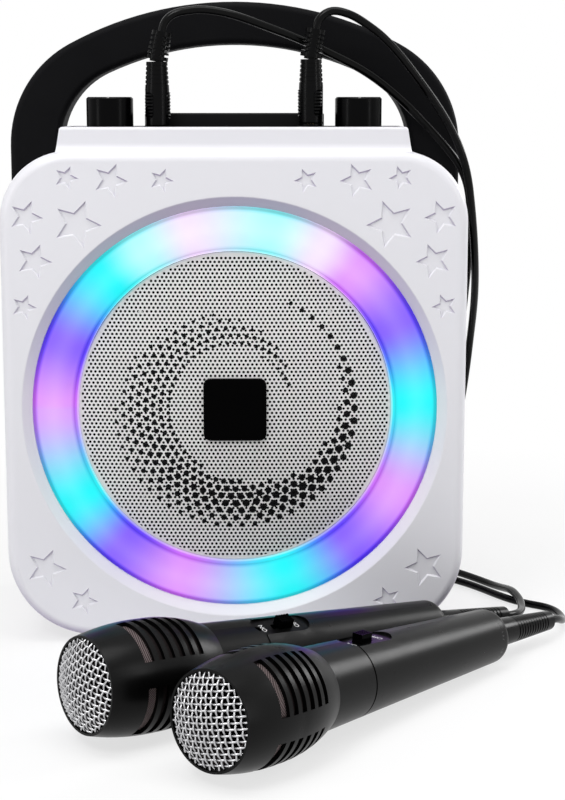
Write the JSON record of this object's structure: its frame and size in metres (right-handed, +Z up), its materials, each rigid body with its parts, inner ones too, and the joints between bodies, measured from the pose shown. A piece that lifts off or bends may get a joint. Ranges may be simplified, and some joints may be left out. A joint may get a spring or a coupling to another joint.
{
  "type": "karaoke machine",
  "caption": "Portable karaoke speaker with a glowing ring round a perforated grille, a carry handle, knobs and plugs on top, and wired microphones lying in front.",
  "frame": {"origin": "on the floor under the middle of the cabinet", "axes": "+X to the right of a person facing the grille, +Y from the grille to the back, +Z up"},
  "size_m": [0.2823, 0.4114, 0.3138],
  "materials": {
    "white_plastic": "satin, slightly pearly",
    "handle_plastic": "fine matt",
    "glowing_ring": "milky diffuser, lit in changing colours",
    "circuit_board": "solder mask",
    "black_plastic": "moulded",
    "grille_metal": "perforated sheet, painted",
    "gloss_black": "polished",
    "black_steel": "pressed sheet",
    "black_rubber": "matt",
    "cone_paper": "pressed pulp",
    "bare_steel": "zinc plated",
    "battery_wrap": "shrink wrap",
    "button_grey": "soft",
    "knob_black": "satin",
    "plug_brass": "turned",
    "plug_black": "moulded on",
    "mic_black": "satin",
    "mic_mesh": "woven wire",
    "mic_foam": "open foam",
    "cord_black": "moulded on"
  },
  "bodies": {
    "cabinet": {"badge_plate": "gloss_black", "bass_port": "black_plastic", "battery_pack": "battery_wrap", "carry_handle": "handle_plastic", "console_board": "circuit_board", "control_deck": "black_plastic", "cord_1_coil": "cord_black", "cord_1_lower": "cord_black", "cord_1_upper": "cord_black", "cord_2_coil": "cord_black", "cord_2_lower": "cord_black", "cord_2_upper": "cord_black", "cord_ties": "black_plastic", "echo_pot": "bare_steel", "front_panel": "white_plastic", "jack_socket_1": "black_plastic", "jack_socket_2": "black_plastic", "led_board": "circuit_board", "led_diffuser": "glowing_ring", "main_board": "circuit_board", "mic_1_capsule": "mic_black", "mic_1_cord_boot": "cord_black", "mic_1_foam": "mic_foam", "mic_1_handle": "mic_black", "mic_1_head_cage": "mic_black", "mic_1_head_mesh": "mic_mesh", "mic_2_capsule": "mic_black", "mic_2_cord_boot": "cord_black", "mic_2_foam": "mic_foam", "mic_2_handle": "mic_black", "mic_2_head_cage": "mic_black", "mic_2_head_mesh": "mic_mesh", "plug_1": "plug_black", "plug_2": "plug_black", "plug_pin_1": "plug_brass", "plug_pin_2": "plug_brass", "rear_shell": "white_plastic", "rear_socket_plate": "black_plastic", "ring_carrier": "black_plastic", "rubber_foot": "black_rubber", "screws": "bare_steel", "speaker_basket": "black_steel", "speaker_grille": "grille_metal", "speaker_magnet": "bare_steel", "speaker_surround": "black_rubber", "volume_pot": "bare_steel"},
    "volume": {"volume_knob": "knob_black", "volume_shaft": "bare_steel"},
    "echo": {"echo_knob": "knob_black", "echo_shaft": "bare_steel"},
    "power_rocker": {"power_switch": "black_plastic"},
    "cone": {"speaker_cone": "cone_paper", "dust_cap": "cone_paper"},
    "mic_1_slider": {"mic_1_switch": "gloss_black"},
    "mic_2_slider": {"mic_2_switch": "gloss_black"},
    "light_button_cap": {"light_button": "button_grey"},
    "mode_button_cap": {"mode_button": "button_grey"},
    "next_button_cap": {"next_button": "button_grey"},
    "play_button_cap": {"play_button": "button_grey"},
    "previous_button_cap": {"previous_button": "button_grey"}
  },
  "joints": [
    {"name": "volume_turn", "type": "hinge", "parent": "cabinet", "child": "volume", "pos_m": [-0.0602, -0.037, 0.26], "axis": [0, 0, 1], "range_deg": [-140, 140]},
    {"name": "echo_turn", "type": "hinge", "parent": "cabinet", "child": "echo", "pos_m": [0.0602, -0.037, 0.26], "axis": [0, 0, 1], "range_deg": [-140, 140]},
    {"name": "light_button_press", "type": "slide", "parent": "cabinet", "child": "light_button_cap", "axis": [0, 0, -1], "range_m": [0, 0.001], "stiffness_N_per_m": 300},
    {"name": "mode_button_press", "type": "slide", "parent": "cabinet", "child": "mode_button_cap", "axis": [0, 0, -1], "range_m": [0, 0.001], "stiffness_N_per_m": 300},
    {"name": "next_button_press", "type": "slide", "parent": "cabinet", "child": "next_button_cap", "axis": [0, 0, -1], "range_m": [0, 0.001], "stiffness_N_per_m": 300},
    {"name": "play_button_press", "type": "slide", "parent": "cabinet", "child": "play_button_cap", "axis": [0, 0, -1], "range_m": [0, 0.001], "stiffness_N_per_m": 300},
    {"name": "previous_button_press", "type": "slide", "parent": "cabinet", "child": "previous_button_cap", "axis": [0, 0, -1], "range_m": [0, 0.001], "stiffness_N_per_m": 300},
    {"name": "power_rock", "type": "hinge", "parent": "cabinet", "child": "power_rocker", "pos_m": [-0.028, 0.0515, 0.179], "axis": [1, 0, 0], "range_deg": [-16, 0]},
    {"name": "cone_travel", "type": "slide", "parent": "cabinet", "child": "cone", "axis": [0, 1, 0], "range_m": [-0.002, 0.002], "stiffness_N_per_m": 1500, "deforming": ["speaker_surround"]},
    {"name": "mic_1_switch_slide", "type": "slide", "parent": "cabinet", "child": "mic_1_slider", "axis": [0.6413, 0.7643, -0.068], "range_m": [0, 0.004]},
    {"name": "mic_2_switch_slide", "type": "slide", "parent": "cabinet", "child": "mic_2_slider", "axis": [-0.7764, -0.6265, 0.068], "range_m": [0, 0.004]}
  ]
}
